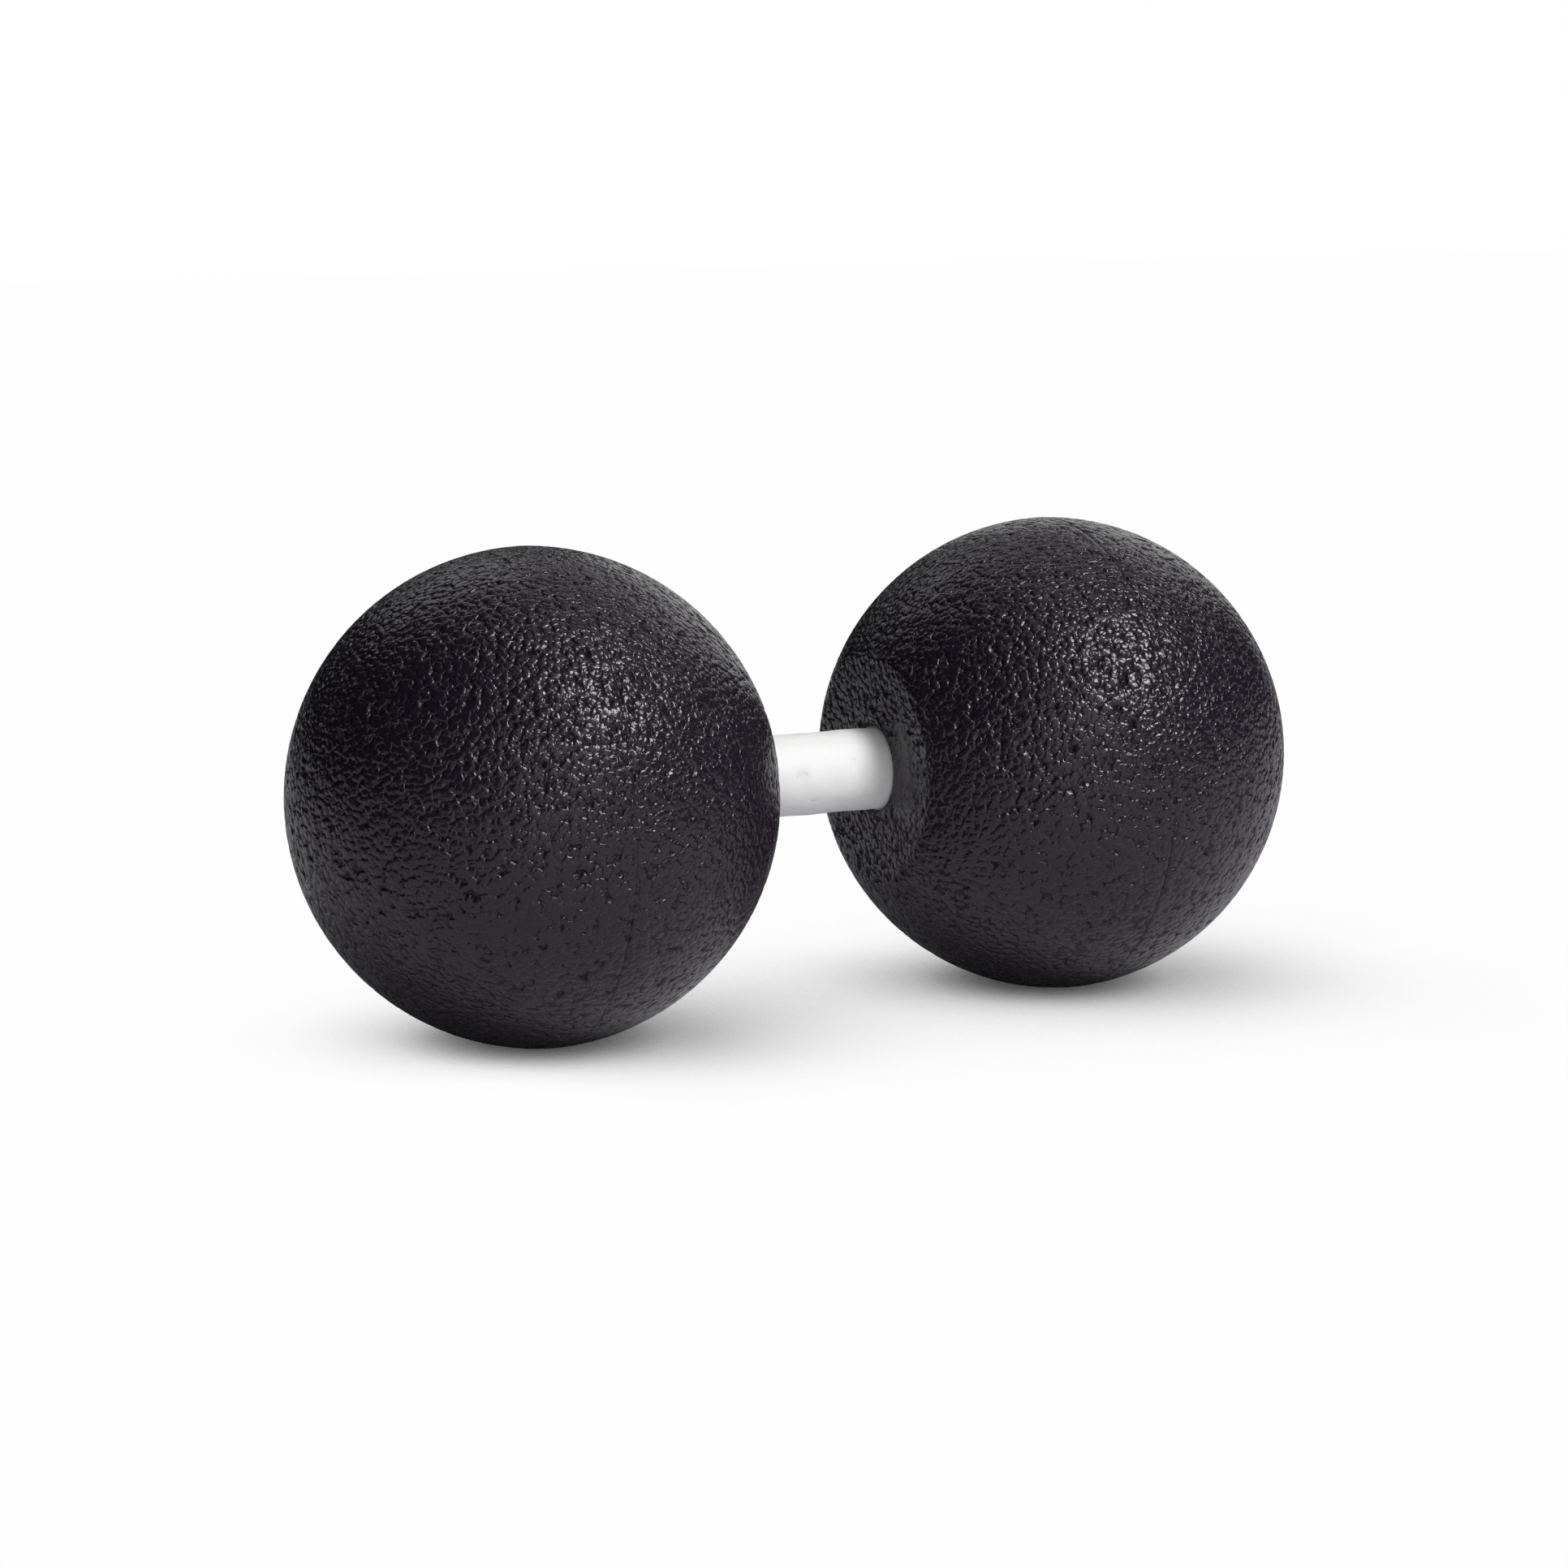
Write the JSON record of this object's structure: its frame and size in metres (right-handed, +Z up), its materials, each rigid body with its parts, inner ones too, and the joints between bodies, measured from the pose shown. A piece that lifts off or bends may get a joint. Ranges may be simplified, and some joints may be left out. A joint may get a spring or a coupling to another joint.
{
  "type": "peanut massage ball",
  "caption": "Dumbbell-shaped massage ball: grained black foam balls with flat inner faces, on a plain white rod that leaves a gap for the spine.",
  "frame": {"origin": "on the floor under the middle of the rod, midway between the balls", "axes": "+X along the rod towards the right ball, +Z up"},
  "size_m": [0.261, 0.12, 0.12],
  "materials": {
    "black_foam": "moulded foam skin with a fine leather grain, satin where light strikes it",
    "white_rod": "plain white, matt, with a slightly uneven surface"
  },
  "bodies": {
    "root": {"left_ball": "black_foam", "right_ball": "black_foam", "connecting_rod": "white_rod"}
  },
  "joints": []
}
